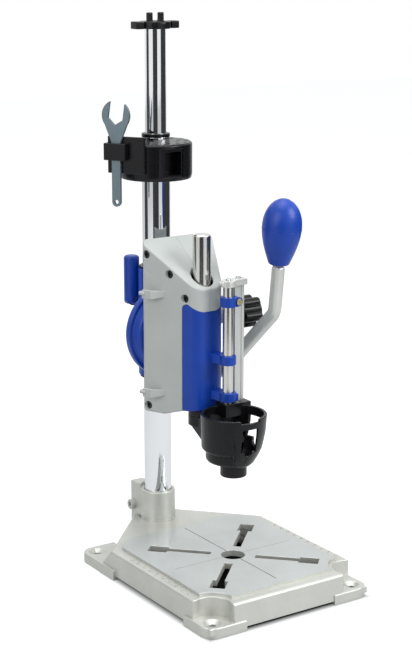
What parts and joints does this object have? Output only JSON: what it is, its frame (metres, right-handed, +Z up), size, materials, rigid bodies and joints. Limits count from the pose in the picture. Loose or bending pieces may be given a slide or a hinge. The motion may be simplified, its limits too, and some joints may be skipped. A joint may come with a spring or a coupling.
{
  "type": "rotary tool drill stand",
  "caption": "Bench drill stand for a hand rotary tool: slotted cast base, chromed column with a telescoping mast, and a tilting head that a lever feeds down by rack and sector.",
  "frame": {"origin": "centre of the four bench bolt holes, in the bench plane under the feet", "axes": "+X to the feed lever's side, +Y from the front edge towards the column, +Z up the column"},
  "size_m": [0.17, 0.2439, 0.493],
  "materials": {
    "cast_aluminium": "sand-cast, tumbled, table machined flat",
    "die_cast_alloy": "die-cast, satin",
    "chrome_tube": "bright chromium plate",
    "zinc_steel": "zinc plated",
    "stamped_steel": "stamped plate, dull grey plating",
    "black_screw": "black oxide",
    "black_plastic": "moulded, fine grain",
    "blue_plastic": "moulded, satin gloss",
    "grey_plastic": "moulded, fine grain",
    "bronze": "sintered bronze",
    "brass": "turned"
  },
  "bodies": {
    "stand": {"base_casting": "cast_aluminium", "column_tube": "chrome_tube", "socket_bolt": "zinc_steel", "socket_nut": "zinc_steel", "tube_bushing": "black_plastic", "accessory_ring": "black_plastic", "spanner_holder": "black_plastic"},
    "mast": {"mast_tube": "chrome_tube", "tool_hanger": "black_plastic", "mast_guide": "black_plastic"},
    "wrench": {"spanner": "stamped_steel"},
    "glide": {"column_liner": "black_plastic"},
    "carriage": {"column_bracket": "blue_plastic", "clamp_bolt": "zinc_steel", "clamp_nut": "zinc_steel", "clamp_pin": "zinc_steel", "pivot_bolt": "zinc_steel"},
    "clamp": {"clamp_handle": "blue_plastic"},
    "head": {"housing_left": "grey_plastic", "housing_right": "grey_plastic", "cover_left": "blue_plastic", "cover_right": "blue_plastic", "housing_screws": "black_screw", "bush_screw": "black_screw", "upper_bush": "bronze", "lower_bush": "bronze", "feed_bushes": "bronze", "pivot_washer": "zinc_steel", "index_ball": "zinc_steel", "index_spring": "zinc_steel", "return_spring": "zinc_steel"},
    "feed": {"feed_shaft": "zinc_steel", "sector_gear": "zinc_steel", "lever_arm": "die_cast_alloy", "lever_knob": "blue_plastic", "lever_screw": "zinc_steel"},
    "quill": {"quill_shaft": "chrome_tube", "tool_cup": "black_plastic", "cup_screw": "zinc_steel", "depth_rod": "chrome_tube", "depth_bar": "die_cast_alloy", "gauge_cap": "die_cast_alloy", "cap_screws": "zinc_steel"},
    "stop": {"stop_collar": "blue_plastic", "stop_screw": "brass"},
    "lock": {"lock_knob": "black_plastic", "lock_stud": "zinc_steel"}
  },
  "joints": [
    {"name": "mast_slide", "type": "slide", "parent": "stand", "child": "mast", "axis": [0, 0, 1], "range_m": [-0.085, 0.16]},
    {"name": "wrench_lift", "type": "slide", "parent": "stand", "child": "wrench", "axis": [0, 0, 1], "range_m": [0, 0.06]},
    {"name": "carriage_slide", "type": "slide", "parent": "stand", "child": "glide", "axis": [0, 0, 1], "range_m": [-0.015, 0.03]},
    {"name": "carriage_swivel", "type": "hinge", "parent": "glide", "child": "carriage", "pos_m": [0, 0.10494, 0.211], "axis": [0, 0, 1], "range_deg": [-25, 180]},
    {"name": "clamp_turn", "type": "hinge", "parent": "carriage", "child": "clamp", "pos_m": [-0.0145, 0.12494, 0.236], "axis": [0, -1, 0], "range_deg": [0, 110]},
    {"name": "head_tilt", "type": "hinge", "parent": "carriage", "child": "head", "pos_m": [0, 0.07394, 0.211], "axis": [0, 1, 0], "range_deg": [-90, 90]},
    {"name": "quill_slide", "type": "slide", "parent": "head", "child": "quill", "axis": [0, 0, 1], "range_m": [-0.038, 0], "stiffness_N_per_m": 250, "springref_m": 0.064},
    {"name": "lever_turn", "type": "hinge", "parent": "head", "child": "feed", "pos_m": [0, 0.05944, 0.1775], "axis": [1, 0, 0], "range_deg": [0, 99.2]},
    {"name": "stop_slide", "type": "slide", "parent": "quill", "child": "stop", "axis": [0, 0, 1], "range_m": [-0.005, 0.007]},
    {"name": "lock_turn", "type": "hinge", "parent": "head", "child": "lock", "pos_m": [0, 0.031, 0.233], "axis": [1, 0, 0], "range_deg": [0, 270]}
  ],
  "couplings": [
    {"joint": "lever_turn", "follows": "quill_slide", "rad_per_m": -45.455}
  ]
}
